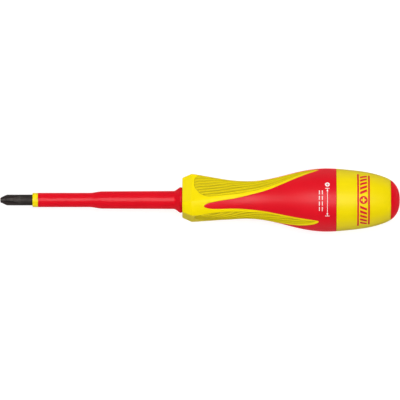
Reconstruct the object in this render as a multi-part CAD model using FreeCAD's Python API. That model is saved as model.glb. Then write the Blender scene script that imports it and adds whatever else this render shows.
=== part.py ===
"""Insulated No. 2 cross-point screwdriver, 100 mm blade.

Millimetres.  The tool's axis is the X axis: the point of the blade is at the
origin and +X runs towards the end cap.  +Z is up with the tool lying on a bench.
Angles around the axis are measured from +Z towards +Y.
"""
import FreeCAD, Part
import math
import os

V = FreeCAD.Vector

# ---------------------------------------------------------------- dimensions
BLADE_LENGTH = 100.0        # point to the front face of the handle
OVERALL_LENGTH = 219.6      # point to the end of the cap

# blade
BLADE_R = 2.95              # round shank, nominal 6 mm
POINT_R = 1.25              # flat on the end of the point
POINT_CONE_LENGTH = 3.6     # cone from the flat to the full shank
FLUTE_ROOT_R = 0.70         # root of each flute at the point
FLUTE_LENGTH = 10.6         # flutes run out here
FLUTE_HALF_ANGLE = 46.0     # half the angle between a flute's two flanks
FLUTE_TURN = 51.0           # angle of the first flute; the wings lie between the flutes
BLADE_REAR_X = 178.0        # blade's rear end, deep in the handle
WING_X0, WING_X1 = 150.0, 169.0   # flattened wings that stop the blade turning
WING_HALF_WIDTH = 4.6
WING_HALF_THICK = 1.4

# blade insulation
INS_X0 = 17.5               # front edge of the insulation
INS_RING_X1 = 20.7          # inner layer shows from INS_X0 to here
INS_THIN_R = 3.93           # radius over the thin front length
INS_STEP_X0, INS_STEP_X1 = 48.7, 56.6
INS_THICK_R0 = 4.79         # radius just behind the step
INS_THICK_R1 = 4.98         # radius just in front of the flare
INS_LAYER_R = 3.42          # face between the two layers
INS_FLARE_X0 = 94.6
INS_FLARE_R = 7.09
INS_REAR_X = 122.0          # insulation ends inside the handle
INNER_INS_REAR_X = 126.0

# handle
HANDLE_X0 = 100.0
COLLAR_X = 105.1            # edge of the front chamfer
CHAMFER = 2.2               # radial size of the front chamfer
FLAT_DIST = 10.55           # each anti-roll flat to the axis
FLAT_END_X = 131.4          # flats have run out here
FLAT_ANGLES = (40.35, 160.35, 280.35)
SEAM_X = 184.6              # rear edge of the red shell
CAP_X = 214.5               # front edge of the end cap
GRIP_WALL = 1.9             # soft layer behind the waist
SHELL_WALL = 2.6            # red shell under the soft layer
RELIEF_R = 7.3              # shallow relief in the collar's face, round the flare
RELIEF_DEPTH = 0.6
SHELL_FRONT_X = 104.0
CORE_FRONT_X = 106.5
CAP_SPIGOT_R = 6.0
CAP_SPIGOT_X0 = 203.0

# handle's outer profile from the collar to the end: x, radius
PROFILE = [
    (105.1, 14.40), (108.1, 14.02), (111.4, 13.44), (114.7, 12.85), (118.0, 12.27),
    (121.3, 11.69), (124.6, 11.17), (127.9, 10.78), (131.4, 10.53), (136.1, 10.39),
    (141.1, 10.63), (146.0, 11.29), (150.9, 12.32), (155.9, 13.52), (160.8, 14.80),
    (165.8, 15.94), (170.7, 16.78), (175.2, 17.27), (179.2, 17.42), (183.9, 17.27),
    (190.5, 16.72), (197.1, 15.98), (203.7, 14.88), (208.1, 13.72), (211.6, 12.50),
    (214.5, 10.98), (216.2, 9.60), (217.8, 7.50), (218.9, 5.05), (219.45, 2.40),
    (219.6, 0.0),
]

# edge between soft grip (in front) and red shell (behind), one third of the turn:
# angle, x.  It starts at a red tongue's tip and ends at the next tongue's tip.
EDGE = [
    (-14.5, 111.9), (-9.9, 113.1), (-6.2, 116.0), (-2.6, 120.0), (0.6, 124.3), (4.6, 128.6),
    (9.6, 132.8), (16.2, 137.2), (22.8, 142.0), (29.6, 146.9), (37.2, 151.8),
    (44.3, 156.4), (50.9, 161.0), (57.4, 165.8), (64.2, 170.3), (70.4, 173.6),
    (75.5, 174.9), (78.4, 172.6), (79.6, 167.6), (80.6, 161.0), (82.0, 154.0),
    (84.4, 147.6), (87.2, 140.8), (90.6, 134.4), (93.2, 128.6), (94.6, 122.6),
    (95.9, 118.0), (98.6, 114.4),
]
EDGE_IN_R, EDGE_OUT_R = 5.6, 26.0

# grooves of the ribbed panel on one lobe, each from front to rear: x, angle
GROOVES = [
    [(117.5, 20.1), (124.2, 25.5), (130.9, 32.4), (137.6, 40.2), (144.2, 47.5), (150.9, 55.3), (157.6, 62.5), (164.3, 68.4), (171.0, 75.0)],
    [(109.5, 24.1), (116.5, 29.3), (123.6, 35.4), (130.6, 43.5), (137.6, 51.9), (144.7, 58.5), (151.7, 65.4), (158.7, 71.1), (165.8, 74.7)],
    [(108.2, 33.3), (114.9, 38.7), (121.5, 44.1), (128.2, 51.7), (134.8, 60.3), (141.5, 66.7), (148.1, 71.4), (154.8, 75.6)],
    [(107.5, 43.7), (114.2, 48.9), (120.9, 53.9), (127.6, 61.9), (134.3, 71.3), (141.0, 77.6)],
    [(107.0, 54.0), (112.0, 57.4), (116.9, 60.4), (121.8, 64.5), (126.8, 71.5), (131.8, 79.5)],
    [(107.0, 64.4), (110.8, 67.1), (114.7, 68.2), (118.5, 70.1), (122.4, 75.1), (126.2, 81.3)],
    [(107.5, 74.0), (110.2, 75.5), (112.9, 75.1), (115.6, 76.7), (118.3, 78.9), (121.0, 82.7)],
]
GROOVE_R = 0.80             # radius of a groove's section
GROOVE_DEPTH = 0.45


# ------------------------------------------------------------------- helpers
def polar(x, r, ang):
    a = math.radians(ang)
    return V(x, r * math.sin(a), r * math.cos(a))


def spline(points, **kw):
    c = Part.BSplineCurve()
    c.interpolate(Points=[V(*p) for p in points], **kw)
    return c.toShape()


def revolve(edges):
    """Solid of revolution about X from a closed outline in the XZ plane."""
    wire = Part.Wire(Part.__sortEdges__(edges))
    face = Part.Face(wire)
    solid = face.revolve(V(0, 0, 0), V(1, 0, 0), 360)
    if solid.Volume < 0:
        solid.reverse()
    return solid


def lines(points):
    pts = [V(x, 0, r) for x, r in points]
    return [Part.makeLine(a, b) for a, b in zip(pts, pts[1:])]


def tube(x0, x1, r_out, r_in=0.0):
    return revolve(lines([(x0, r_in), (x0, r_out), (x1, r_out), (x1, r_in), (x0, r_in)]))


def write(shape, node):
    shape = shape.removeSplitter()
    solids = [s for s in shape.Solids if s.Volume > 0.5]
    out = solids[0] if len(solids) == 1 else Part.makeCompound(solids)
    print("%-18s solids %d  volume %9.1f mm3  valid %s" % (node, len(solids), out.Volume, out.isValid()))
    out.exportStep("parts/%s.step" % node)
    return out


def triangle(x, inradius):
    """Triangle across the axis whose sides lie at inradius, one facing each flat."""
    pts = [polar(x, 2.0 * inradius, a + 60.0) for a in FLAT_ANGLES]
    return Part.makePolygon(pts + [pts[0]])


def profile_radius(x):
    """Radius of the outer profile, by straight lines between its points."""
    for (x0, r0), (x1, r1) in zip(PROFILE, PROFILE[1:]):
        if x0 <= x <= x1:
            return r0 + (r1 - r0) * (x - x0) / (x1 - x0)
    return PROFILE[0][1] if x < PROFILE[0][0] else 0.0


def surface_radius(x, ang):
    """Radius of the handle's outer form, flats included."""
    r = profile_radius(x)
    if x < FLAT_END_X:
        for a in FLAT_ANGLES:
            c = math.cos(math.radians(ang - a))
            if c > 0.5:
                r = min(r, FLAT_DIST / c)
    return r


# ----------------------------------------------------------------- the blade
def make_blade():
    body = revolve(lines([
        (0, 0), (0, POINT_R), (POINT_CONE_LENGTH, BLADE_R),
        (BLADE_REAR_X - 1.0, BLADE_R), (BLADE_REAR_X, BLADE_R - 1.0), (BLADE_REAR_X, 0), (0, 0)]))
    # each flute is a V, opening outwards, with its root rising towards the shank
    root = [(-1.0, FLUTE_ROOT_R - 0.08), (2.0, FLUTE_ROOT_R + 0.10), (4.2, FLUTE_ROOT_R + 0.33),
            (6.4, FLUTE_ROOT_R + 0.77), (8.6, FLUTE_ROOT_R + 1.35), (FLUTE_LENGTH + 0.9, BLADE_R + 0.35)]
    depth = 6.0
    half = depth * math.tan(math.radians(FLUTE_HALF_ANGLE))
    for k in range(4):
        ang = FLUTE_TURN + 90.0 * k
        a = math.radians(ang)
        rad = V(0, math.sin(a), math.cos(a))
        tan = V(0, math.cos(a), -math.sin(a))
        wires = []
        for x, r in root:
            p = V(x, 0, 0) + rad * r
            q1 = V(x, 0, 0) + rad * (r + depth) + tan * half
            q2 = V(x, 0, 0) + rad * (r + depth) - tan * half
            wires.append(Part.makePolygon([p, q1, q2, p]))
        flute = Part.makeLoft(wires, True, True)
        body = body.cut(flute)
    # wings, pressed out of the shank inside the handle
    w = WING_HALF_WIDTH
    t = WING_HALF_THICK
    wing = Part.makePolygon([V(WING_X0 - 3.0, 0, -t), V(WING_X0, w, -t), V(WING_X1, w, -t),
                             V(WING_X1 + 3.0, 0, -t), V(WING_X1, -w, -t), V(WING_X0, -w, -t),
                             V(WING_X0 - 3.0, 0, -t)])
    wings = Part.Face(wing).extrude(V(0, 0, 2 * t))
    return body.fuse(wings)


# ------------------------------------------------------------ blade insulation
def make_inner_insulation():
    return revolve(lines([
        (INS_X0, BLADE_R), (INS_X0, INS_THIN_R - 0.35), (INS_X0 + 0.4, INS_THIN_R),
        (INS_RING_X1, INS_THIN_R), (INS_RING_X1, INS_LAYER_R),
        (INNER_INS_REAR_X, INS_LAYER_R), (INNER_INS_REAR_X, BLADE_R), (INS_X0, BLADE_R)]))


def make_outer_insulation():
    dx = INS_STEP_X1 - INS_STEP_X0
    dr = INS_THICK_R0 - INS_THIN_R
    step = [(INS_STEP_X0, 0, INS_THIN_R)]
    for f in (0.2, 0.4, 0.6, 0.8):
        step.append((INS_STEP_X0 + dx * f, 0, INS_THIN_R + dr * (0.5 - 0.5 * math.cos(math.pi * f))))
    step.append((INS_STEP_X1, 0, INS_THICK_R0))
    flare = [(INS_FLARE_X0, 0, INS_THICK_R1), (95.8, 0, 5.13), (96.8, 0, 5.65), (97.8, 0, 6.42),
             (98.5, 0, 6.88), (99.1, 0, INS_FLARE_R), (99.6, 0, 6.98), (HANDLE_X0, 0, 6.72)]
    edges = lines([(INS_RING_X1, INS_LAYER_R), (INS_RING_X1, INS_THIN_R), (INS_STEP_X0, INS_THIN_R)])
    edges.append(spline(step, InitialTangent=V(1, 0, 0), FinalTangent=V(1, 0, 0.02)))
    edges += lines([(INS_STEP_X1, INS_THICK_R0), (INS_FLARE_X0, INS_THICK_R1)])
    edges.append(spline(flare))
    edges += lines([(HANDLE_X0, 6.72), (HANDLE_X0, INS_THICK_R1), (INS_REAR_X, INS_THICK_R1),
                    (INS_REAR_X, INS_LAYER_R), (INS_RING_X1, INS_LAYER_R)])
    return revolve(edges)


# ------------------------------------------------------------------ the handle
def make_outer_form():
    """The whole handle's outer form: round, with three flats at the front."""
    curve = spline([(x, 0, r) for x, r in PROFILE],
                   InitialTangent=V(1, 0, -0.09), FinalTangent=V(0, 0, -1))
    edges = lines([(OVERALL_LENGTH, 0), (HANDLE_X0, 0), (HANDLE_X0, PROFILE[0][1] - CHAMFER),
                   (COLLAR_X, PROFILE[0][1])])
    edges.append(curve)
    body = revolve(edges)
    front = Part.makeLoft([triangle(HANDLE_X0 - 1.0, FLAT_DIST - CHAMFER * 6.1 / 5.1),
                           triangle(COLLAR_X, FLAT_DIST)], True, True)
    prism = Part.makeLoft([triangle(COLLAR_X, FLAT_DIST), triangle(FLAT_END_X, FLAT_DIST)], True, True)
    rear = tube(FLAT_END_X, OVERALL_LENGTH + 2.0, 30.0)
    a = body.common(front)
    b = body.common(prism)
    c = body.common(rear)
    return a.fuse([b, c])


def make_edge_cutter():
    """Everything behind the edge between soft grip and red shell."""
    pts = []
    for k in range(3):
        pts += [(ang + 120.0 * k, x) for ang, x in EDGE]

    def closed(radius, xs=None):
        c = Part.BSplineCurve()
        c.interpolate(Points=[polar(x if xs is None else xs, radius, ang) for ang, x in pts],
                      PeriodicFlag=True, Parameters=params)
        return c.toShape()

    params = [0.0]
    n = len(pts)
    for i in range(n):
        a0, x0 = pts[i]
        a1, x1 = pts[(i + 1) % n]
        if i == n - 1:
            a1 += 360.0
        params.append(params[-1] + math.hypot(x1 - x0, math.radians(a1 - a0) * 13.0))
    inner, outer = closed(EDGE_IN_R), closed(EDGE_OUT_R)
    inner_end, outer_end = closed(EDGE_IN_R, 205.0), closed(EDGE_OUT_R, 205.0)
    faces = [Part.makeRuledSurface(inner, outer), Part.makeRuledSurface(outer, outer_end),
             Part.makeRuledSurface(outer_end, inner_end), Part.makeRuledSurface(inner_end, inner)]
    shell = Part.makeShell(faces)
    shell.sewShape()
    solid = Part.makeSolid(shell)
    if solid.Volume < 0:
        solid.reverse()
    return solid


def make_groove(points, turn):
    """Round-bottomed cutter along a groove, rising out of the surface at both ends."""
    last = len(points) - 1
    path = []
    for i, (x, ang) in enumerate(points):
        lift = GROOVE_R - GROOVE_DEPTH if 0 < i < last else GROOVE_R + 0.05
        path.append(polar(x, surface_radius(x, ang) + lift, ang + turn))
    curve = Part.BSplineCurve()
    curve.interpolate(Points=path)
    wires = []
    count = 3 * last + 1
    for i in range(count):
        t = curve.FirstParameter + (curve.LastParameter - curve.FirstParameter) * i / (count - 1.0)
        circle = Part.Circle(curve.value(t), curve.tangent(t)[0], GROOVE_R)
        wires.append(Part.Wire(circle.toShape()))
    return Part.makeLoft(wires, True, False)


def inset_body(x0, x1, inset, front_r):
    """Round body inside the outer form: a straight front, then inset behind the waist."""
    pts = [(x0, front_r), (128.0, front_r)]
    for x in (136.0, 142.0, 149.0, 156.0, 163.0, 170.0, 177.0, x1):
        pts.append((x, max(front_r, profile_radius(x) - inset)))
    poly = [(x0, 0)] + pts + [(x1, 0), (x0, 0)]
    return revolve(lines(poly))


def main():
    os.makedirs("parts", exist_ok=True)
    blade = make_blade()
    inner_ins = make_inner_insulation()
    outer_ins = make_outer_insulation()
    write(blade, "blade")
    write(inner_ins, "inner_insulation")
    write(outer_ins, "outer_insulation")

    outer_form = make_outer_form()
    cutter = make_edge_cutter()
    print("outer form", outer_form.isValid(), outer_form.Volume, "cutter", cutter.isValid(), cutter.Volume)

    # what the moulded parts are moulded round
    sleeve_bore = tube(HANDLE_X0 - 1.0, INS_REAR_X, INS_THICK_R1)
    inner_bore = tube(INS_REAR_X - 1.0, INNER_INS_REAR_X, INS_LAYER_R)
    insert = sleeve_bore.fuse([inner_bore, blade])

    core_body = inset_body(CORE_FRONT_X, SEAM_X, GRIP_WALL + SHELL_WALL, 7.0)
    shell_body = inset_body(SHELL_FRONT_X, SEAM_X, GRIP_WALL, 8.5)

    # handle core: yellow, under the shell, full size behind the seam
    barrel = outer_form.common(tube(SEAM_X, CAP_X, 30.0))
    spigot = tube(CAP_SPIGOT_X0, CAP_X + 0.5, CAP_SPIGOT_R)
    core = core_body.fuse(barrel).cut(insert).cut(spigot)
    write(core, "handle_core")

    # end cap: red dome with a spigot in the core's rear bore
    dome = outer_form.common(tube(CAP_X, OVERALL_LENGTH + 1.0, 30.0))
    cap = dome.fuse(tube(CAP_SPIGOT_X0, CAP_X + 0.2, CAP_SPIGOT_R))
    write(cap, "end_cap")

    # red shell: a layer over the core, with three tongues and a rear band at full size
    front_form = outer_form.common(tube(HANDLE_X0 - 1.0, SEAM_X, 30.0))
    full = front_form.common(cutter)
    shell = shell_body.fuse(full).cut(core_body)
    shell = shell.cut(sleeve_bore)
    write(shell, "handle_shell")

    # soft grip: collar and three lobes, in front of the edge
    relief = tube(HANDLE_X0 - 1.0, HANDLE_X0 + RELIEF_DEPTH, RELIEF_R)
    grip = front_form.cut(cutter).cut(shell_body).cut(sleeve_bore)
    grip = grip.cut(core_body).cut(relief)
    grooves = [make_groove(points, 120.0 * k) for k in range(3) for points in GROOVES]
    print("grooves", len(grooves), all(g.isValid() for g in grooves))
    grip = grip.cut(grooves)
    write(grip, "soft_grip")


main()
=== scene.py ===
"""Insulated screwdriver: the visual model and its studio, in the CAD frame (metres).

The tool's axis is X, the point of the blade is at the origin and +Z is up.  Shapes are
worked out in millimetres as a distance x along the axis, an angle t round it (from +Z
towards +Y) and a radius, and are turned into metres when a mesh is made.
"""
import bpy
import math
import numpy as np
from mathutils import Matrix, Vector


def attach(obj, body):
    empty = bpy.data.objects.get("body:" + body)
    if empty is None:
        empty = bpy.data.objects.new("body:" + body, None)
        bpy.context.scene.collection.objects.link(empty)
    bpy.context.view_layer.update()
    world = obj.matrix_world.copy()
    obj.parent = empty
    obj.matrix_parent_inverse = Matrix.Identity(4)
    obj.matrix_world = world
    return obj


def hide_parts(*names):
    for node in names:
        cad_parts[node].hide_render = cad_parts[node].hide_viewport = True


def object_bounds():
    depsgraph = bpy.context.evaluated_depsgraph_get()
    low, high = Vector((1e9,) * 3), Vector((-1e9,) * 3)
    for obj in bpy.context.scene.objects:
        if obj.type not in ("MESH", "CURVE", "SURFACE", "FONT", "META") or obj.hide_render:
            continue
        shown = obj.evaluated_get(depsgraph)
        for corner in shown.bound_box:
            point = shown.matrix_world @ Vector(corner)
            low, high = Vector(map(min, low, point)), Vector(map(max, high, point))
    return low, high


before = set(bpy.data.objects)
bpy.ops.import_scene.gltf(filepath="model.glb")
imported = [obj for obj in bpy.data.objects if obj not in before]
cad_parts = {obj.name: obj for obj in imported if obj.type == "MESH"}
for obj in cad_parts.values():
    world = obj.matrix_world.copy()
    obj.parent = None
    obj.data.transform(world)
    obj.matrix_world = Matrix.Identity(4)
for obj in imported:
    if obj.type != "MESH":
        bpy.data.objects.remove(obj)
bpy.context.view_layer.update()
BODY = "root"
MM = 0.001

# ------------------------------------------------------------------ dimensions
BLADE_R, POINT_R, CONE_LEN = 2.95, 1.25, 3.6
FLUTE_TURN, FLUTE_HALF = 51.0, 46.0
INS_X0, RING_X1 = 17.5, 20.7
THIN_R, THICK_R0, THICK_R1, LAYER_R = 3.93, 4.79, 4.98, 3.42
STEP_X0, STEP_X1 = 48.7, 56.6
FACE_X, COLLAR_X, CHAMFER = 100.0, 105.1, 2.2
FLAT_DIST, FLAT_END_X = 10.55, 131.4
FLATS = (40.35, 160.35, 280.35)
SEAM_X, CAP_X, END_X = 184.6, 214.5, 219.6
UNDER = 0.045               # skin lies this far inside the CAD form

PROFILE = np.array([
    (105.1, 14.40), (108.1, 14.02), (111.4, 13.44), (114.7, 12.85), (118.0, 12.27),
    (121.3, 11.69), (124.6, 11.17), (127.9, 10.78), (131.4, 10.53), (136.1, 10.39),
    (141.1, 10.63), (146.0, 11.29), (150.9, 12.32), (155.9, 13.52), (160.8, 14.80),
    (165.8, 15.94), (170.7, 16.78), (175.2, 17.27), (179.2, 17.42), (183.9, 17.27),
    (190.5, 16.72), (197.1, 15.98), (203.7, 14.88), (208.1, 13.72), (211.6, 12.50),
    (214.5, 10.98), (216.2, 9.60), (217.8, 7.50), (218.9, 5.05), (219.45, 2.40),
    (219.6, 0.0)])

EDGE = np.array([
    (-14.5, 111.9), (-9.9, 113.1), (-6.2, 116.0), (-2.6, 120.0), (0.6, 124.3), (4.6, 128.6),
    (9.6, 132.8), (16.2, 137.2), (22.8, 142.0), (29.6, 146.9), (37.2, 151.8),
    (44.3, 156.4), (50.9, 161.0), (57.4, 165.8), (64.2, 170.3), (70.4, 173.6),
    (75.5, 174.9), (78.4, 172.6), (79.6, 167.6), (80.6, 161.0), (82.0, 154.0),
    (84.4, 147.6), (87.2, 140.8), (90.6, 134.4), (93.2, 128.6), (94.6, 122.6),
    (95.9, 118.0), (98.6, 114.4)])

# the ribbed panel in one lobe: x, angle of its gentle side, angle of its steep side
PANEL = np.array([
    (100.0, -9.0, 86.0), (106.0, 1.0, 85.0), (107.5, 3.4, 84.6), (109.7, 6.0, 84.2),
    (111.9, 8.0, 84.0), (114.0, 9.4, 84.0), (116.3, 10.7, 84.0), (120.7, 13.1, 84.0),
    (125.1, 16.0, 83.0), (128.0, 18.4, 82.0), (132.0, 22.0, 80.8), (137.0, 28.0, 79.5),
    (142.7, 34.5, 78.8), (148.0, 41.3, 78.0), (153.7, 48.6, 77.0), (159.0, 55.5, 76.2),
    (164.7, 62.6, 75.6), (169.0, 68.6, 75.6), (171.6, 72.8, 75.9), (173.4, 76.0, 76.2),
    (190.0, 90.0, 76.2)])
# its front end: angle, x
PANEL_FRONT = np.array([
    (-40.0, 131.0), (5.0, 116.5), (8.6, 114.3), (12.0, 112.2), (17.2, 110.3), (22.0, 109.3),
    (27.2, 108.6), (33.0, 107.85), (38.0, 107.35), (46.0, 106.85), (54.0, 106.6), (66.0, 106.6),
    (71.5, 106.75), (76.0, 107.3), (79.5, 108.6), (82.0, 110.6), (84.0, 114.0), (120.0, 131.0)])
PITCH = np.array([(105.0, 2.18), (109.7, 2.10), (112.0, 1.98), (118.0, 1.95), (125.0, 2.02),
                  (132.0, 2.12), (140.0, 2.10), (147.0, 2.00), (154.0, 1.92), (160.0, 1.70),
                  (165.0, 1.35), (170.0, 0.90), (174.0, 0.60)])


# --------------------------------------------------------------------- splines
def cubic(t, y, d0=None, d1=None):
    """A cubic spline through (t, y), with end slopes where they are given."""
    t, y = np.asarray(t, float), np.asarray(y, float)
    n, h = len(t), np.diff(t)
    a, b = np.zeros((n, n)), np.zeros(n)
    for i in range(1, n - 1):
        a[i, i - 1], a[i, i], a[i, i + 1] = h[i - 1], 2 * (h[i - 1] + h[i]), h[i]
        b[i] = 6 * ((y[i + 1] - y[i]) / h[i] - (y[i] - y[i - 1]) / h[i - 1])
    if d0 is None:
        a[0, 0] = 1
    else:
        a[0, 0], a[0, 1], b[0] = 2 * h[0], h[0], 6 * ((y[1] - y[0]) / h[0] - d0)
    if d1 is None:
        a[-1, -1] = 1
    else:
        a[-1, -1], a[-1, -2], b[-1] = 2 * h[-1], h[-1], 6 * (d1 - (y[-1] - y[-2]) / h[-1])
    m = np.linalg.solve(a, b)

    def f(q):
        q = np.asarray(q, float)
        i = np.clip(np.searchsorted(t, q) - 1, 0, n - 2)
        u, v = t[i + 1] - q, q - t[i]
        return (m[i] * u ** 3 + m[i + 1] * v ** 3) / (6 * h[i]) + (y[i] / h[i] - m[i] * h[i] / 6) * u \
            + (y[i + 1] / h[i] - m[i + 1] * h[i] / 6) * v
    return f


def chord(p):
    return np.concatenate([[0], np.cumsum(np.hypot(*np.diff(p, axis=0).T))])


def curve2(p, n, s0=(None, None), s1=(None, None)):
    """n points on a smooth curve through the points p."""
    s = chord(p)
    q = np.linspace(0, s[-1], n)
    return np.stack([cubic(s, p[:, 0], s0[0], s1[0])(q), cubic(s, p[:, 1], s0[1], s1[1])(q)], 1)


PROF = curve2(PROFILE, 2400, (1.0, -0.09), (0.0, -1.0))
PROF[:, 1] = np.maximum(PROF[:, 1], 0.0)


def smin(a, b, k):
    h = np.maximum(k - np.abs(a - b), 0.0) / np.maximum(k, 1e-9)
    return np.minimum(a, b) - h * h * k * 0.25


def smooth(e0, e1, x):
    u = np.clip((x - e0) / (e1 - e0), 0, 1)
    return u * u * (3 - 2 * u)


def profile_r(x):
    return np.where(x < COLLAR_X, 14.40 - 0.09 * (x - COLLAR_X), np.interp(x, PROF[:, 0], PROF[:, 1]))


def handle_r(x, t):
    """Radius of the handle's outer form at x and angle t (degrees)."""
    x, t = np.broadcast_arrays(np.asarray(x, float), np.asarray(t, float))
    slope = CHAMFER / (COLLAR_X - FACE_X)
    rc = smin(profile_r(x), 14.40 + slope * (x - COLLAR_X), 0.16)
    fd = smin(np.full_like(x, FLAT_DIST), FLAT_DIST + slope * (x - COLLAR_X), 0.16)
    k = np.clip(np.interp(x, [100, 107, 113], [0.22, 0.28, 1.0]), 0.01, np.maximum(0.75 * (rc - fd) + 0.03, 0.01))
    r = rc
    for f in FLATS:
        d = np.radians((t - f + 180.0) % 360.0 - 180.0)
        c = np.cos(d)
        cut = np.where(c > 0.35, fd / np.maximum(c, 0.35), 99.0)
        r = np.where(x < FLAT_END_X, smin(r, cut, k), r)
    # rounded front rim
    q = np.clip((0.55 - (x - FACE_X)) / 0.55, 0, 1)
    return r - 0.5 * (1 - np.sqrt(1 - np.minimum(q, 0.9999) ** 2)) - UNDER


# ---------------------------------------------- edge between soft grip and shell
def edge_samples():
    pts = np.concatenate([EDGE + [120.0 * k, 0] for k in range(-2, 4)])
    scaled = pts * [math.radians(1) * 13.0, 1.0]
    s = chord(scaled)
    q = np.arange(0, s[-1], 0.10)
    a, x = cubic(s, pts[:, 0])(q), cubic(s, pts[:, 1])(q)
    keep = (a > -80) & (a < 170)
    return a[keep], x[keep]


EA, EXX = edge_samples()


def edge_distance(x, t, r):
    """Signed distance in mm from the edge: positive on the red side."""
    u = (np.asarray(t, float) + 14.5) % 120.0 - 14.5
    out = np.empty(len(x))
    k = math.radians(1)
    for i in range(0, len(x), 4000):
        xs, us, rs = x[i:i + 4000], u[i:i + 4000], r[i:i + 4000]
        dx = (xs[:, None] - EXX[None, :]).astype(np.float32)
        da = ((us[:, None] - EA[None, :]) * (rs[:, None] * k)).astype(np.float32)
        n = np.clip(np.argmin(dx * dx + da * da, axis=1), 1, len(EA) - 2)
        best = np.full(len(xs), 1e9)
        for s in (-1, 0):
            ax, aa = EXX[n + s], EA[n + s]
            bx, ba = EXX[n + s + 1], EA[n + s + 1]
            vx, va = bx - ax, (ba - aa) * rs * k
            wx, wa = xs - ax, (us - aa) * rs * k
            f = np.clip((wx * vx + wa * va) / (vx * vx + va * va + 1e-12), 0, 1)
            best = np.minimum(best, np.hypot(wx - f * vx, wa - f * va))
        out[i:i + 4000] = best * np.sign(xs - np.interp(us, EA, EXX) + 1e-9)
    return out


# ----------------------------------------------------------------- mesh making
def clip_grid(xs, ts, field, side, wrap):
    """The part of a grid where side * field > 0, cut exactly along field = 0.

    xs, ts are the rows and columns, field is their level.  Gives the points' x and t,
    and the faces, wound so that they face outwards.
    """
    nx, nt = len(xs), len(ts)
    s = np.where(np.abs(field) < 0.012, 0.0, field) * side
    gx, gt = np.repeat(xs, nt), np.tile(ts, nx)
    px, pt, ps = list(gx), list(gt), s.ravel()
    faces, cuts = [], {}
    cols = nt if wrap else nt - 1
    i, j = np.meshgrid(np.arange(nx - 1), np.arange(cols), indexing="ij")
    jn = (j + 1) % nt
    quad = np.stack([i * nt + j, (i + 1) * nt + j, (i + 1) * nt + jn, i * nt + jn], -1).reshape(-1, 4)
    v = ps[quad]
    whole = (v >= 0).all(1) & (v > 0).any(1)
    mixed = (v > 0).any(1) & (v < 0).any(1)
    step = ts[1] - ts[0]

    def cut(a, b):
        key = (min(a, b), max(a, b))
        if key not in cuts:
            a, b = key
            f = ps[a] / (ps[a] - ps[b])
            ta, tb = gt[a], gt[b]
            if wrap and abs(tb - ta) > 180.0:
                ta, tb = (ta + 360.0, tb) if ta < tb else (ta, tb + 360.0)
            cuts[key] = len(px)
            px.append(gx[a] + f * (gx[b] - gx[a]))
            pt.append(ta + f * (tb - ta))
        return cuts[key]

    for q in quad[mixed]:
        a, b, c, d = (int(n) for n in q)
        tris = ((a, b, c), (a, c, d)) if (a + a // nt) % 2 else ((a, b, d), (b, c, d))
        for tri in tris:
            poly = []
            for m in range(3):
                p, n = tri[m], tri[(m + 1) % 3]
                if ps[p] >= 0:
                    poly.append(p)
                if ps[p] * ps[n] < 0:
                    poly.append(cut(p, n))
            if len(poly) >= 3 and any(k >= nx * nt or ps[k] > 0 for k in poly):
                faces.append(tuple(poly))
    faces = [tuple(q) for q in quad[whole].tolist()] + faces
    used = np.unique(np.concatenate([np.array(f) for f in faces[-200000:]]) if len(faces) < 200000
                     else np.array([n for f in faces for n in f]))
    remap = {int(n): k for k, n in enumerate(used)}
    px, pt = np.array(px)[used], np.array(pt)[used]
    return px, pt, [tuple(remap[int(n)] for n in f) for f in faces]


def to_xyz(x, t, r):
    a = np.radians(t)
    return np.stack([x, r * np.sin(a), r * np.cos(a)], 1) * MM


def thicken(n, faces):
    """Closes an open patch of n points: a second copy of it inside, and walls between."""
    edges = {}
    for f in faces:
        for a, b in zip(f, f[1:] + f[:1]):
            edges[(a, b)] = True
    walls = [(b, a, a + n, b + n) for (a, b) in edges if (b, a) not in edges]
    inner = [tuple(k + n for k in reversed(f)) for f in faces]
    return faces + inner + walls, len(faces)


def make_object(name, xyz, faces, attrs=None, sharp=60.0):
    me = bpy.data.meshes.new(name)
    me.from_pydata(xyz.tolist(), [], faces)
    me.validate()
    me.polygons.foreach_set("use_smooth", [True] * len(me.polygons))
    me.set_sharp_from_angle(angle=math.radians(sharp))
    for key, values in (attrs or {}).items():
        at = me.attributes.new(key, "FLOAT", "POINT")
        at.data.foreach_set("value", np.asarray(values, np.float32))
    me.update()
    ob = bpy.data.objects.new(name, me)
    bpy.context.scene.collection.objects.link(ob)
    return ob


def fillet(points, n=6):
    """Points of an outline with its corners rounded: each is x, r and the corner's radius."""
    out = []
    for i, (x, r, rad) in enumerate(points):
        p = np.array([x, r], float)
        if rad <= 0 or i == 0 or i == len(points) - 1:
            out.append(p)
            continue
        a, b = np.array(points[i - 1][:2], float) - p, np.array(points[i + 1][:2], float) - p
        la, lb = np.linalg.norm(a), np.linalg.norm(b)
        a, b = a / la, b / lb
        half = 0.5 * math.acos(max(-1.0, min(1.0, float(a @ b))))
        cut = min(rad / math.tan(half), 0.49 * la, 0.49 * lb)
        for u in np.linspace(0, 1, n):
            # quadratic arc from one side to the other
            out.append((1 - u) ** 2 * (p + a * cut) + 2 * u * (1 - u) * p + u ** 2 * (p + b * cut))
    return out


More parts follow.
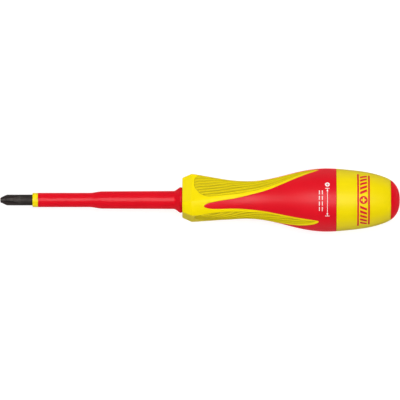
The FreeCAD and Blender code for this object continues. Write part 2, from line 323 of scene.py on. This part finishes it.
def lathe(name, outline, nt=200, wobble=None, attrs=None, sharp=50.0):
    """A solid of revolution from an outline of (x, r), closed on itself or on the axis."""
    pts = np.array(outline, float)
    ts = np.arange(nt) * 360.0 / nt
    pole0, pole1 = pts[0, 1] <= 1e-6, pts[-1, 1] <= 1e-6
    rings = pts[1 if pole0 else 0:len(pts) - (1 if pole1 else 0)]
    x, t = np.repeat(rings[:, 0], nt), np.tile(ts, len(rings))
    r = np.repeat(rings[:, 1], nt)
    if wobble is not None:
        r = r + wobble(x, t)
    xyz = to_xyz(x, t, r)
    faces, m = [], len(rings)
    i, j = np.meshgrid(np.arange(m - 1), np.arange(nt), indexing="ij")
    jn = (j + 1) % nt
    faces += np.stack([i * nt + j, (i + 1) * nt + j, (i + 1) * nt + jn, i * nt + jn], -1).reshape(-1, 4).tolist()
    if pole0:
        xyz = np.vstack([xyz, [[pts[0, 0] * MM, 0, 0]]])
        k = len(xyz) - 1
        faces += [(k, int(a), int((a + 1) % nt)) for a in range(nt)]
    if pole1:
        xyz = np.vstack([xyz, [[pts[-1, 0] * MM, 0, 0]]])
        k, base = len(xyz) - 1, (m - 1) * nt
        faces += [(base + a, k, base + (a + 1) % nt) for a in range(nt)]
    if not pole0 and not pole1:
        base = (m - 1) * nt
        faces += [(base + a, a, (a + 1) % nt, base + (a + 1) % nt) for a in range(nt)]
    faces = [tuple(f) for f in faces]
    values = {}
    for key, fn in (attrs or {}).items():
        v = list(fn(x, t))
        values[key] = v + [v[-1]] * (len(xyz) - len(v))
    return make_object(name, xyz, faces, values, sharp)


# -------------------------------------------------------------------- materials
def lin(c):
    c = c / 255.0
    return c / 12.92 if c <= 0.04045 else ((c + 0.055) / 1.055) ** 2.4


def rgb(r, g, b):
    return (lin(r), lin(g), lin(b), 1.0)


class Nodes:
    """A short way to write a node tree."""

    def __init__(self, name):
        self.mat = bpy.data.materials.new(name)
        self.mat.use_nodes = True
        self.t = self.mat.node_tree
        self.t.nodes.clear()
        self.out = self.t.nodes.new("ShaderNodeOutputMaterial")
        self.bsdf = self.t.nodes.new("ShaderNodeBsdfPrincipled")
        self.t.links.new(self.bsdf.outputs[0], self.out.inputs["Surface"])
        self.co = self.t.nodes.new("ShaderNodeTexCoord").outputs["Object"]

    def link(self, a, b):
        self.t.links.new(a, b)

    def mapping(self, scale):
        n = self.t.nodes.new("ShaderNodeMapping")
        n.inputs["Scale"].default_value = scale
        self.link(self.co, n.inputs["Vector"])
        return n.outputs[0]

    def noise(self, scale, detail=3.0, rough=0.5, vector=None):
        n = self.t.nodes.new("ShaderNodeTexNoise")
        n.inputs["Scale"].default_value = scale
        n.inputs["Detail"].default_value = detail
        n.inputs["Roughness"].default_value = rough
        self.link(vector if vector is not None else self.co, n.inputs["Vector"])
        return n.outputs[0]

    def voronoi(self, scale, feature="F1", vector=None):
        n = self.t.nodes.new("ShaderNodeTexVoronoi")
        n.feature = feature
        n.inputs["Scale"].default_value = scale
        self.link(vector if vector is not None else self.co, n.inputs["Vector"])
        return n.outputs["Distance"]

    def ramp(self, value, lo, hi, to_lo=0.0, to_hi=1.0):
        n = self.t.nodes.new("ShaderNodeMapRange")
        n.clamp = True
        for k, v in zip(("From Min", "From Max", "To Min", "To Max"), (lo, hi, to_lo, to_hi)):
            n.inputs[k].default_value = v
        self.link(value, n.inputs["Value"])
        return n.outputs[0]

    def math(self, op, a, b):
        n = self.t.nodes.new("ShaderNodeMath")
        n.operation = op
        for k, v in enumerate((a, b)):
            if isinstance(v, (int, float)):
                n.inputs[k].default_value = v
            else:
                self.link(v, n.inputs[k])
        return n.outputs[0]

    def mix(self, fac, a, b):
        n = self.t.nodes.new("ShaderNodeMix")
        n.data_type = "RGBA"
        self.link(fac, n.inputs[0])
        for k, v in ((6, a), (7, b)):
            if isinstance(v, tuple):
                n.inputs[k].default_value = v
            else:
                self.link(v, n.inputs[k])
        return n.outputs[2]

    def attr(self, name):
        n = self.t.nodes.new("ShaderNodeAttribute")
        n.attribute_name = name
        return n.outputs["Fac"]

    def bump(self, height, strength, distance, normal=None):
        n = self.t.nodes.new("ShaderNodeBump")
        n.inputs["Strength"].default_value = strength
        n.inputs["Distance"].default_value = distance
        self.link(height, n.inputs["Height"])
        if normal is not None:
            self.link(normal, n.inputs["Normal"])
        return n.outputs[0]

    def set(self, **kw):
        for k, v in kw.items():
            s = self.bsdf.inputs[k.replace("_", " ")]
            if isinstance(v, (int, float, tuple)):
                s.default_value = v
            else:
                self.link(v, s)


def shade(c, f):
    return (min(c[0] * f, 1.0), min(c[1] * f, 1.0), min(c[2] * f, 1.0), 1.0)


def hard_plastic(name, base, rough=(0.26, 0.34), spec=0.16, streak=None, darker=0.93, grain=0.5, sink=0.05, haze=0.0):
    """Moulded or extruded hard plastic: slight flow marks, fine grain, faint handling scratches."""
    m = Nodes(name)
    cloud = m.noise(70.0, 3.0, 0.55)
    flow = m.noise(420.0, 2.0, 0.5, m.mapping((0.12, 1.0, 1.0)))
    blend = m.math("ADD", m.math("MULTIPLY", cloud, 0.65), m.math("MULTIPLY", flow, 0.35))
    colour = m.mix(m.ramp(blend, 0.34, 0.66), shade(base, darker), shade(base, 1.0))
    # a thin line of painted shade where two mouldings meet and in the crease in front of the sleeve's lip
    colour = m.mix(m.ramp(m.attr("seam"), 0.0, 1.0, 0.0, 0.30), colour, shade(base, 0.40))
    fine = m.noise(3200.0, 2.0, 0.6)
    scratch = m.ramp(m.noise(900.0, 2.0, 0.5, m.mapping((0.05, 1.0, 1.0))), 0.62, 0.74)
    r = m.ramp(cloud, 0.3, 0.7, rough[0], rough[1])
    r = m.math("ADD", r, m.math("MULTIPLY", scratch, 0.10))
    n = m.bump(fine, 0.10 * grain, 0.00006)
    n = m.bump(m.noise(260.0, 2.0, 0.5), sink, 0.0004, n)
    if streak:
        n = m.bump(m.noise(streak, 3.0, 0.6, m.mapping((0.008, 1.0, 1.0))), 0.02, 0.00008, n)
    m.set(Base_Color=colour, Roughness=r, Normal=n, Specular_IOR_Level=spec)
    if haze:
        m.set(Sheen_Weight=haze, Sheen_Roughness=0.5, Sheen_Tint=(1.0, 0.012, 0.03, 1.0))
    return m.mat


def soft_plastic(name, base):
    """Matt elastomer: fine eroded grain, painted shade in the grooves, a smoother border round the panels."""
    m = Nodes(name)
    panel, groove = m.attr("panel"), m.attr("groove")
    cloud = m.noise(90.0, 4.0, 0.6)
    grain = m.noise(2600.0, 3.0, 0.65)
    colour = m.mix(m.ramp(cloud, 0.32, 0.68), shade(base, 0.955), shade(base, 1.0))
    # the ribbed panels are painted darker in patches: partly their duller finish, partly painted shade between the
    # ribs
    rub = m.math("MULTIPLY", panel, m.ramp(m.noise(1200.0, 3.0, 0.6), 0.35, 0.70, 0.75, 1.0))
    colour = m.mix(m.math("MULTIPLY", rub, 0.95), colour, shade(base, 0.74))
    # painted shade in the rib grooves and along the panel's rim wall
    colour = m.mix(m.math("MULTIPLY", groove, 0.85), colour, shade((base[0], base[1] * 0.97, base[2], 1), 0.38))
    # painted shade along the edge where the grip meets the red shell
    colour = m.mix(m.ramp(m.attr("seam"), 0.0, 1.0, 0.0, 0.3), colour, shade(base, 0.50))
    r = m.ramp(cloud, 0.3, 0.7, 0.36, 0.44)
    r = m.math("ADD", r, m.math("MULTIPLY", panel, 0.22))
    n = m.bump(grain, 0.22, 0.00009)
    n = m.bump(m.voronoi(1500.0), 0.10, 0.00008, n)
    m.set(Base_Color=colour, Roughness=r, Normal=n, Specular_IOR_Level=0.12)
    return m.mat


def dark_steel(name):
    """Blackened steel with grinding marks round the shank, rubbed brighter on the wings' edges."""
    m = Nodes(name)
    turned = m.noise(5200.0, 3.0, 0.6, m.mapping((1.0, 0.04, 0.04)))
    ground = m.noise(4200.0, 3.0, 0.6, m.mapping((0.06, 1.0, 1.0)))
    cloud = m.noise(380.0, 4.0, 0.6)
    flute = m.attr("flute")
    colour = m.mix(m.ramp(cloud, 0.3, 0.7), rgb(43, 38, 36), rgb(57, 52, 49))
    colour = m.mix(m.ramp(turned, 0.45, 0.75, 0.0, 0.5), colour, rgb(70, 64, 61))
    # painted shade in the flutes: the colour goes dark red-brown as the flute deepens
    colour = m.mix(m.math("MULTIPLY", flute, 0.8), colour, rgb(28, 17, 15))
    colour = m.mix(m.math("MULTIPLY", m.attr("rub"), m.ramp(m.noise(1500.0, 3.0, 0.6), 0.35, 0.65)), colour, rgb(110, 104, 99))
    r = m.ramp(turned, 0.3, 0.7, 0.52, 0.66)
    n = m.bump(turned, 0.16, 0.00004)
    n = m.bump(ground, 0.08, 0.00004, n)
    m.set(Base_Color=colour, Roughness=r, Metallic=0.35, Specular_IOR_Level=0.22, Normal=n)
    return m.mat


def ink(name, base):
    m = Nodes(name)
    worn = m.noise(1400.0, 4.0, 0.65)
    colour = m.mix(m.ramp(worn, 0.35, 0.65), shade(base, 0.90), base)
    m.set(Base_Color=colour, Roughness=m.ramp(worn, 0.3, 0.7, 0.40, 0.55), Specular_IOR_Level=0.16,
          Normal=m.bump(m.noise(2600.0, 2.0, 0.5), 0.10, 0.00004))
    return m.mat


RED = (0.695, 0.0045, 0.0145, 1.0)
YELLOW = (0.885, 0.705, 0.0005, 1.0)

M_BLADE = dark_steel("blackened_steel")
M_RING = hard_plastic("yellow_insulation", (0.885, 0.705, 0.0040, 1.0), (0.28, 0.36))
M_SLEEVE = hard_plastic("red_insulation", RED, (0.18, 0.25), streak=1600.0, sink=0.012, haze=0.6)
M_SHELL = hard_plastic("red_hard_plastic", RED, (0.34, 0.41), 0.21, haze=0.6)
M_CAP = hard_plastic("red_cap_plastic", (0.720, 0.0022, 0.0110, 1.0), (0.36, 0.43), 0.07, haze=0.6)
M_CORE = hard_plastic("yellow_hard_plastic", (0.835, 0.660, 0.0003, 1.0), (0.34, 0.42))
M_GRIP = soft_plastic("yellow_soft_grip", YELLOW)
M_RED_INK = ink("red_print", (0.66, 0.006, 0.020, 1.0))
M_WHITE_INK = ink("white_print", (0.86, 0.82, 0.80, 1.0))


def finish(ob, mat, replaced=None):
    ob.data.materials.append(mat)
    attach(ob, BODY)
    if replaced:
        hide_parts(replaced)
    return ob


# ------------------------------------------------------------------------ blade
def blade_radius(x, t):
    slope = (BLADE_R - POINT_R) / CONE_LEN
    r = smin(POINT_R + slope * x, np.full_like(x, BLADE_R), 0.14)
    q = np.clip((0.28 - x) / 0.28, 0, 1)
    r = r - 0.24 * (1 - np.sqrt(1 - np.minimum(q, 0.9999) ** 2))
    root = np.interp(x, [-1.0, 2.0, 4.2, 6.4, 8.6, 11.5, 13.0], [0.62, 0.80, 1.03, 1.47, 2.05, 3.30, 4.5])
    tan = math.tan(math.radians(FLUTE_HALF))
    flute = np.zeros_like(r)
    full = r.copy()
    for k in range(4):
        d = np.abs(np.radians((t - FLUTE_TURN - 90.0 * k + 180.0) % 360.0 - 180.0))
        den = np.cos(d) * tan - np.sin(d)
        cut = np.where(den > 0.02, root * tan / np.maximum(den, 0.02), 99.0)
        # the flute's root is a small round, not a knife edge
        cut = np.maximum(cut, root + 0.03)
        r = smin(r, cut, 0.10)
    flute = np.clip((full - r) / 0.5, 0, 1)
    rim = np.exp(-((full - r - 0.02) / 0.05) ** 2) * (x < 11.2)
    return r, flute, rim


def build_blade():
    xs = np.concatenate([np.linspace(0, 0.28, 8), np.arange(0.38, 12.2, 0.09), np.linspace(12.4, 22, 34),
                         np.linspace(26, 178, 40)])
    ts = np.arange(288) * 1.25
    x, t = np.repeat(xs, len(ts)), np.tile(ts, len(xs))
    r, flute, rim = blade_radius(x, t)
    rub = np.clip(1.0 - x / 4.0, 0, 1) * 0.8 + 0.25 * rim
    rub *= 1 - np.clip(flute * 2, 0, 1)
    xyz = to_xyz(x, t, r)
    nt, m = len(ts), len(xs)
    i, j = np.meshgrid(np.arange(m - 1), np.arange(nt), indexing="ij")
    jn = (j + 1) % nt
    faces = np.stack([i * nt + j, (i + 1) * nt + j, (i + 1) * nt + jn, i * nt + jn], -1).reshape(-1, 4).tolist()
    xyz = np.vstack([xyz, [[0, 0, 0]], [[0.178, 0, 0]]])
    a0, a1 = len(xyz) - 2, len(xyz) - 1
    faces += [(a0, a, (a + 1) % nt) for a in range(nt)]
    faces += [((m - 1) * nt + a, a1, (m - 1) * nt + (a + 1) % nt) for a in range(nt)]
    ob = make_object("blade_steel", xyz, [tuple(f) for f in faces],
                     {"flute": np.append(flute, [0, 0]), "rub": np.append(rub, [1, 0])}, sharp=48.0)
    return finish(ob, M_BLADE, "blade")


# ------------------------------------------------------------------- insulation
def build_insulation():
    front = INS_X0 + 0.2
    ring = fillet([(front, BLADE_R + 0.02, 0), (front, THIN_R - 0.02, 0.62), (RING_X1 - 0.02, THIN_R - 0.02, 0.10),
                   (RING_X1 - 0.02, LAYER_R - 0.02, 0), (126.0, LAYER_R - 0.02, 0), (126.0, BLADE_R + 0.02, 0)], 10)
    ring_ob = lathe("insulation_ring", ring, 180, attrs={"seam": lambda x, t: np.exp(-((x - RING_X1) / 0.12) ** 2)})
    finish(ring_ob, M_RING, "inner_insulation")

    out = [(RING_X1 + 0.01, LAYER_R + 0.02)]
    out += [tuple(p) for p in fillet([(RING_X1 + 0.01, LAYER_R + 0.02, 0), (RING_X1 + 0.01, THIN_R - 0.02, 0.14),
                                      (24.0, THIN_R - 0.02, 0)], 7)[1:]]
    out += [(x, THIN_R - 0.02) for x in np.arange(26.0, 46.0, 2.5)]
    f = np.linspace(0, 1, 26)
    out += [(STEP_X0 + (STEP_X1 - STEP_X0) * u, THIN_R - 0.02 + (THICK_R0 - THIN_R) * (0.5 - 0.5 * math.cos(math.pi * u)))
            for u in f]
    out += [(x, THICK_R0 - 0.02 + (THICK_R1 - THICK_R0) * (x - STEP_X1) / (94.6 - STEP_X1)) for x in np.linspace(58.5, 94.0, 18)]
    flare = np.array([(94.6, THICK_R1 - 0.02), (95.5, 5.01), (96.1, 5.20), (96.8, 5.63), (97.4, 6.07), (97.9, 6.46), (98.34, 6.76)])
    out += [tuple(p) for p in curve2(flare, 32, (1.0, 0.0))]
    lip = np.array([(98.48, 6.78), (98.62, 6.91), (98.84, 7.03), (99.10, 7.07), (99.36, 7.03), (99.62, 6.92), (99.88, 6.76), (100.15, 6.66), (100.35, 6.62)])
    out += [tuple(p) for p in curve2(lip, 32)]
    out += [(100.40, 5.60), (100.42, 5.00), (100.8, 4.94), (122.0, 4.94), (122.0, LAYER_R + 0.02)]
    # the seam value puts painted shade at the ring's joint and in the crease in front of the lip
    ob = lathe("insulation_sleeve", out, 240, attrs={
        "seam": lambda x, t: np.exp(-((x - RING_X1) / 0.12) ** 2) + np.exp(-((x - 98.47) / 0.13) ** 2)})
    finish(ob, M_SLEEVE, "outer_insulation")


# ----------------------------------------------------------------------- handle
def lobe_angle(t):
    """Angle in the frame of the lobe that lies between two tongues."""
    return (np.asarray(t, float) + 14.5) % 120.0 - 14.5


def panel_fields(x, t):
    """Distance in mm inside the panel's outline, and how high the surface is on its ribs (0 in a groove)."""
    u = lobe_angle(t)
    k = math.radians(1)
    g, s = np.interp(x, PANEL[:, 0], PANEL[:, 1]), np.interp(x, PANEL[:, 0], PANEL[:, 2])
    dg = (np.interp(x + 0.4, PANEL[:, 0], PANEL[:, 1]) - np.interp(x - 0.4, PANEL[:, 0], PANEL[:, 1])) / 0.8
    r = handle_r(x, t)
    rc = profile_r(x)
    fx = np.interp(u, PANEL_FRONT[:, 0], PANEL_FRONT[:, 1])
    df = (np.interp(u + 1.5, PANEL_FRONT[:, 0], PANEL_FRONT[:, 1])
          - np.interp(u - 1.5, PANEL_FRONT[:, 0], PANEL_FRONT[:, 1])) / 3.0
    inside = smin((u - g) * r * k / np.sqrt(1 + (dg * r * k) ** 2), (s - u) * r * k, 0.5)
    inside = smin(inside, (x - fx) / np.sqrt(1 + (df / (r * k)) ** 2), 0.6)
    # arc measured across the lobe: straight over the flat, round beyond it
    reach = np.degrees(np.arccos(np.clip(FLAT_DIST / np.maximum(rc, FLAT_DIST), -1, 1)))

    def across(v):
        a = v - FLATS[0]
        b = np.clip(a, -reach, reach)
        return FLAT_DIST * np.tan(b * k) + rc * (a - b) * k

    o = (across(u) - across(g)) / np.interp(x, PITCH[:, 0], PITCH[:, 1])
    return inside, np.abs(np.sin(math.pi * o))


def grip_surface(x, t, s):
    """Radius of the skin in front of the edge, and what its material needs."""
    r = handle_r(x, t)
    inside, rib = panel_fields(x, t)
    mask = smooth(-0.12, 0.45, inside)
    wall = np.exp(-((inside - 0.12) / 0.24) ** 2)
    near = np.clip(-s, 0, 9)
    seam = np.exp(-(near / 0.16) ** 2)
    deep = mask * (1 - rib)
    rib_depth = (0.58 + 0.27 * smooth(50.0, 66.0, lobe_angle(t))) * np.interp(x, [150, 172], [1.0, 0.35])
    depth = mask * 0.06 + rib_depth * deep + 0.20 * wall + 0.12 * seam
    # the groove value carries painted shade in the rib grooves and along the panel's rim wall
    return r - depth, {"panel": mask, "groove": np.clip(np.maximum(deep ** 1.2, 0.7 * wall), 0, 1), "seam": seam}


def shell_surface(x, t, s):
    r = handle_r(x, t)
    seam = np.exp(-(np.clip(s, 0, 9) / 0.16) ** 2)
    rear = np.exp(-((x - (SEAM_X - 0.01)) / 0.14) ** 2)
    return r - 0.10 * seam - 0.06 * rear, {"seam": np.clip(seam + rear, 0, 1)}


def build_skins():
    nt = 400
    ts = np.arange(nt) * 360.0 / nt
    xs_f = np.concatenate([FACE_X + 0.55 * (1 - np.cos(np.radians(np.linspace(0, 90, 7)))),
                           np.arange(100.8, 107.4, 0.22), np.arange(107.6, 176.6, 0.26)])
    xs_r = np.concatenate([np.arange(110.6, 176.0, 0.26), np.arange(176.2, 184.2, 0.5),
                           np.linspace(184.22, SEAM_X - 0.01, 6)])
    for xs, side, name in ((xs_f, -1, "soft_grip_skin"), (xs_r, 1, "handle_shell_skin")):
        x, t = np.repeat(xs, nt), np.tile(ts, len(xs))
        s = edge_distance(x, t, handle_r(x, t)).reshape(len(xs), nt)
        px, pt, faces = clip_grid(xs, ts, s, side, True)
        ps = edge_distance(px, pt, handle_r(px, pt))
        if side < 0:
            r, attrs = grip_surface(px, pt, ps)
            base = handle_r(px, pt) - 1.6
            f = smooth(FACE_X, FACE_X + 4.0, px)
            rin = np.maximum(6.88 * (1 - f) + base * f, np.minimum(6.88, base + 0.3))
        else:
            r, attrs = shell_surface(px, pt, ps)
            rin = handle_r(px, pt) - 1.6
        rin = np.minimum(rin, r - 0.35)
        n = len(px)
        xyz = np.vstack([to_xyz(px, pt, r), to_xyz(px, pt, rin)])
        all_faces, _ = thicken(n, faces)
        attrs = {k: np.concatenate([v, v * 0]) for k, v in attrs.items()}
        ob = make_object(name, xyz, all_faces, attrs, sharp=66.0)
        if side < 0:
            finish(ob, M_GRIP, "soft_grip")
        else:
            finish(ob, M_SHELL, "handle_shell")


def build_core_and_cap():
    sel = PROF[(PROF[:, 0] > SEAM_X + 0.35) & (PROF[:, 0] < CAP_X - 0.35)][::12]
    r0, r1 = float(profile_r(np.array(SEAM_X))) - UNDER, float(profile_r(np.array(CAP_X))) - UNDER
    hidden = [(106.5, 5.02), (106.5, 6.9), (128.0, 6.9)]
    hidden += [(x, float(profile_r(np.array(x))) - 4.6) for x in (142.0, 149.0, 156.0, 163.0, 170.0, 177.0, SEAM_X + 0.01)]
    outer = [tuple(p) for p in fillet([(SEAM_X + 0.01, r0 - 4.0, 0), (SEAM_X + 0.01, r0, 0.16), (sel[0, 0], sel[0, 1] - UNDER, 0)], 7)[1:-1]]
    outer += [(x, r - UNDER) for x, r in sel]
    outer += [tuple(p) for p in fillet([(sel[-1, 0], sel[-1, 1] - UNDER, 0), (CAP_X - 0.01, r1, 0.14), (CAP_X - 0.01, 6.0, 0)], 7)[1:]]
    inner = [(203.0, 6.0), (203.0, 2.98), (126.0, 2.98), (122.0, 5.02)]
    ob = lathe("handle_core_barrel", hidden + outer + inner, 300, attrs={
        "seam": lambda x, t: np.exp(-((x - SEAM_X) / 0.16) ** 2) + np.exp(-((x - CAP_X) / 0.14) ** 2)})
    finish(ob, M_CORE, "handle_core")

    sel = PROF[PROF[:, 0] > CAP_X + 0.35]
    sel = sel[np.unique(np.linspace(0, len(sel) - 2, 70).astype(int))]
    cap = [(203.1, 0.0), (203.1, 5.95), (CAP_X + 0.01, 5.95)]
    cap += [tuple(p) for p in fillet([(CAP_X + 0.01, 5.95, 0), (CAP_X + 0.01, r1 - 0.01, 0.14), (sel[0, 0], sel[0, 1] - UNDER, 0)], 7)[1:-1]]
    cap += [(x - UNDER * 0.6 * (1 - r / 11.0), max(r - UNDER * r / 11.0, 0.02)) for x, r in sel]
    cap += [(END_X - UNDER * 0.6, 0.0)]
    ob = lathe("end_cap_dome", cap, 260, attrs={"seam": lambda x, t: np.exp(-((x - CAP_X) / 0.14) ** 2) * (np.asarray(x) > 210)})
    finish(ob, M_CAP, "end_cap")


# ----------------------------------------------------------------------- prints
def sd_box(x, y, cx, cy, hx, hy, r=0.0):
    dx, dy = np.abs(x - cx) - hx + r, np.abs(y - cy) - hy + r
    return np.hypot(np.maximum(dx, 0), np.maximum(dy, 0)) + np.minimum(np.maximum(dx, dy), 0) - r


def sd_disc(x, y, cx, cy, r):
    return np.hypot(x - cx, y - cy) - r


def build_print(name, x0, x1, t0, t1, step, design, mat, lift=0.028):
    """Ink on the handle: a thin layer whose outline is where design(x, arc) changes sign."""
    rm = float(profile_r(np.array(0.5 * (x0 + x1))))
    xs = np.arange(x0, x1 + step, step)
    ts = np.arange(t0, t1, math.degrees(step / rm))
    x, t = np.repeat(xs, len(ts)), np.tile(ts, len(xs))
    s = -design(x, np.radians(t) * rm).reshape(len(xs), len(ts))
    px, pt, faces = clip_grid(xs, ts, s, 1, False)
    r = handle_r(px, pt)
    xyz = np.vstack([to_xyz(px, pt, r + lift), to_xyz(px, pt, r - 0.05)])
    all_faces, _ = thicken(len(px), faces)
    ob = make_object(name, xyz, all_faces, None, sharp=50.0)
    return finish(ob, mat)


def cross_icon(x, y, cx, cy, r, w):
    """A screw head seen from above: a disc with a plain cross recess."""
    arm = np.minimum(sd_box(x, y, cx, cy, r * 0.62, w, w * 0.5), sd_box(x, y, cx, cy, w, r * 0.62, w * 0.5))
    return np.maximum(sd_disc(x, y, cx, cy, r), -arm)


def rear_band(x, y):
    """Two rails round the barrel with slanted bars between, and a screw-head sign in the middle."""
    cx = 199.4
    d = np.minimum(sd_box(x, y, cx - 3.0, 0, 0.48, 17.0, 0.4), sd_box(x, y, cx + 3.0, 0, 0.48, 17.0, 0.4))
    d = np.minimum(d, cross_icon(x, y, cx, 0.0, 2.25, 0.42))
    for sgn in (-1, 1):
        for k in range(5):
            cy = sgn * (4.6 + 2.55 * k)
            u = y - cy - sgn * 0.45 * (x - cx)
            d = np.minimum(d, np.maximum(np.abs(x - cx) - 1.9, np.abs(u) - 0.74))
    return d


def size_marks(x, y):
    """A screw-head sign and a dimension line, beside two rows of plain dashes."""
    cx = 179.55
    d = cross_icon(x, y, cx, 8.9, 1.30, 0.15)
    d = np.minimum(d, sd_box(x, y, cx, -1.3, 0.14, 7.9, 0.05))
    for cy, way in ((6.6, 1), (-9.2, -1)):
        d = np.minimum(d, sd_box(x, y, cx, cy, 1.20, 0.17, 0.05))
        u = (cy - y) * way - 0.35
        d = np.minimum(d, np.maximum(np.maximum(-u, u - 1.3), np.abs(x - cx) - 0.45 * u))
    for k in range(4):
        for rx in (175.15, 176.75):
            d = np.minimum(d, sd_box(x, y, rx, 4.25 - 3.1 * k, 0.22, 1.15, 0.1))
    return d


build_blade()
build_insulation()
build_skins()
build_core_and_cap()
build_print("rear_band_print", 195.6, 203.2, -68.0, 68.0, 0.11, rear_band, M_RED_INK)
build_print("size_print", 174.2, 181.6, -37.0, 37.0, 0.09, size_marks, M_WHITE_INK, 0.02)

# ----------------------------------------------------------------- studio
scene = bpy.context.scene
scene.view_settings.view_transform = "Standard"
scene.view_settings.look = "None"
scene.view_settings.exposure = 0.0
scene.view_settings.gamma = 1.0

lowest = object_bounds()[0][2]
floor_me = bpy.data.meshes.new("studio_floor")
n, rad = 96, 3.0
floor_me.from_pydata([(0.11, 0, lowest)] + [(0.11 + rad * math.cos(2 * math.pi * k / n), rad * math.sin(2 * math.pi * k / n), lowest)
                                            for k in range(n)], [], [(0, 1 + k, 1 + (k + 1) % n) for k in range(n)])
floor = bpy.data.objects.new("studio_floor", floor_me)
scene.collection.objects.link(floor)
fm = Nodes("pale_floor")
fm.set(Base_Color=fm.mix(fm.noise(3.0, 2.0), (0.31, 0.31, 0.31, 1.0), (0.33, 0.33, 0.33, 1.0)), Roughness=0.9,
       Specular_IOR_Level=0.1, Emission_Color=(1.0, 1.0, 1.0, 1.0), Emission_Strength=0.78)
floor_me.materials.append(fm.mat)
floor.visible_glossy = False

world = bpy.data.worlds.new("studio_world")
world.use_nodes = True
world.node_tree.nodes["Background"].inputs[0].default_value = (1.0, 1.0, 1.0, 1.0)
world.node_tree.nodes["Background"].inputs[1].default_value = 0.15
scene.world = world


def area(name, loc, target, sx, sy, watts, colour=(1, 1, 1)):
    li = bpy.data.lights.new(name, "AREA")
    li.shape = "RECTANGLE"
    li.size, li.size_y, li.energy, li.color = sx, sy, watts, colour
    ob = bpy.data.objects.new(name, li)
    scene.collection.objects.link(ob)
    ob.location = loc
    d = [t - l for t, l in zip(target, loc)]
    from mathutils import Vector
    ob.rotation_euler = Vector(d).to_track_quat("-Z", "Y").to_euler()
    return ob


overhead = area("overhead_softbox", (0.11, 0.125, 1.34), (0.11, 0.0, 0.0), 1.2, 0.88, 19.0)
overhead.rotation_euler.rotate_axis("Z", math.radians(-26.0))
# the fills only lift the shade: they give no gloss of their own
for fill in (area("back_fill", (0.11, 1.1, 0.9), (0.11, 0.0, 0.0), 1.4, 0.5, 1.0),
             area("tip_side_fill", (-0.95, 0.10, 0.95), (0.0, 0.0, 0.0), 0.9, 0.9, 2.2),
             area("cap_side_fill", (1.15, 0.10, 0.95), (0.22, 0.0, 0.0), 0.9, 0.9, 2.2)):
    fill.visible_glossy = False

cam_data = bpy.data.cameras.new("camera")
cam_data.lens = 1000.0
cam_data.sensor_width = 36.0
cam_data.clip_start, cam_data.clip_end = 0.05, 50.0
cam = bpy.data.objects.new("camera", cam_data)
scene.collection.objects.link(cam)
PX = 0.5495 * MM
cam.location = ((200.0 - 0.3) * PX, 0.0, 400 * PX * 1000.0 / 36.0)
scene.camera = cam
